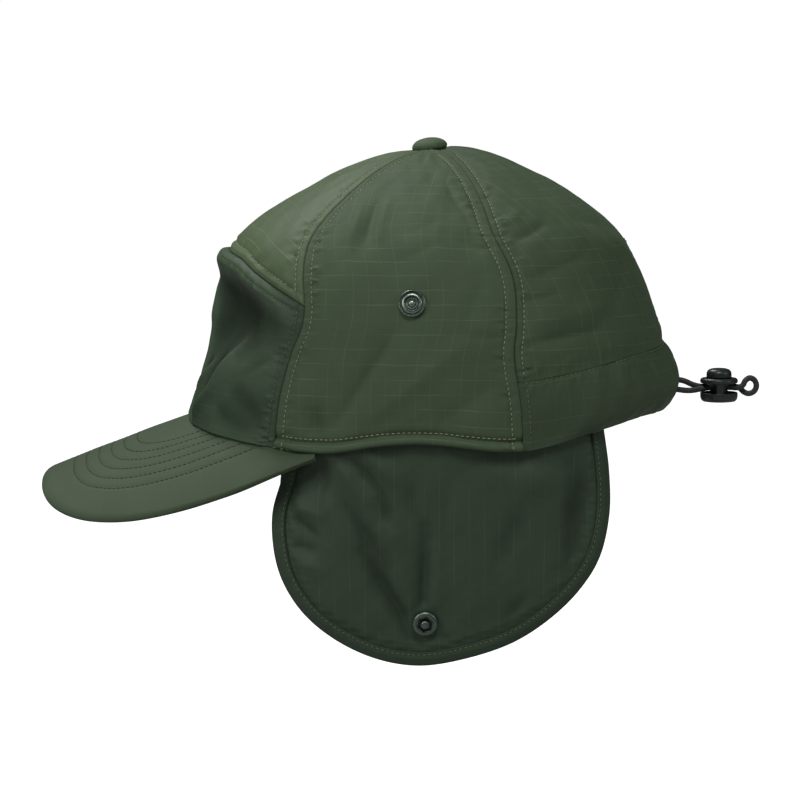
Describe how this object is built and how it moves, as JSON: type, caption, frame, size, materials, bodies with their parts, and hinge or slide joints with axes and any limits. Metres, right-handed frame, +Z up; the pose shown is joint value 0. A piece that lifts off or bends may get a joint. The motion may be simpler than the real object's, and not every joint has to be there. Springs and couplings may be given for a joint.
{
  "type": "earflap cap",
  "caption": "Padded cloth cap with a curved peak, earflaps hanging below the rim, snaps to fold them up, and a gathered back hem with a drawcord and spring lock.",
  "frame": {"origin": "middle of the head opening, level with the rim above the ears, where the cap sits on a head", "axes": "-X towards the peak, +X towards the drawcord lock, -Y towards the wearer's left, +Z up"},
  "size_m": [0.3076, 0.1722, 0.218],
  "materials": {
    "front_lower_cloth": "smooth dark olive cloth with a slight satin sheen",
    "front_upper_cloth": "sage green ripstop, matte",
    "side_cloth": "olive green ripstop, matte",
    "back_cloth": "dark olive ripstop, matte",
    "hem_cloth": "dark olive ripstop, gathered",
    "peak_cloth": "olive green ripstop with rows of topstitching",
    "flap_cloth": "dark green ripstop, matte",
    "binding_cloth": "dark green folded cloth, topstitched",
    "snap_metal": "dark gunmetal, semi-gloss",
    "elastic_cord": "dark braided elastic cord",
    "lock_plastic": "near-black green moulded plastic, satin"
  },
  "bodies": {
    "cap": {"front_panel_lower": "front_lower_cloth", "front_panel_upper": "front_upper_cloth", "side_panel_left": "side_cloth", "side_panel_right": "side_cloth", "back_panel_left": "back_cloth", "back_panel_right": "back_cloth", "drawcord_channel": "hem_cloth", "crown_button": "side_cloth", "peak": "peak_cloth", "earflap_left": "flap_cloth", "earflap_right": "flap_cloth", "flap_binding_left": "binding_cloth", "flap_binding_right": "binding_cloth", "crown_snap_left": "snap_metal", "crown_snap_right": "snap_metal", "flap_snap_left": "snap_metal", "flap_snap_right": "snap_metal", "drawcord": "elastic_cord", "cord_lock_body": "lock_plastic"},
    "lock_button": {"cord_lock_button": "lock_plastic"}
  },
  "joints": [
    {"name": "lock_press", "type": "slide", "parent": "cap", "child": "lock_button", "axis": [0, 0, -1], "range_m": [0, 0.0025], "stiffness_N_per_m": 500, "springref_m": -0.003}
  ]
}
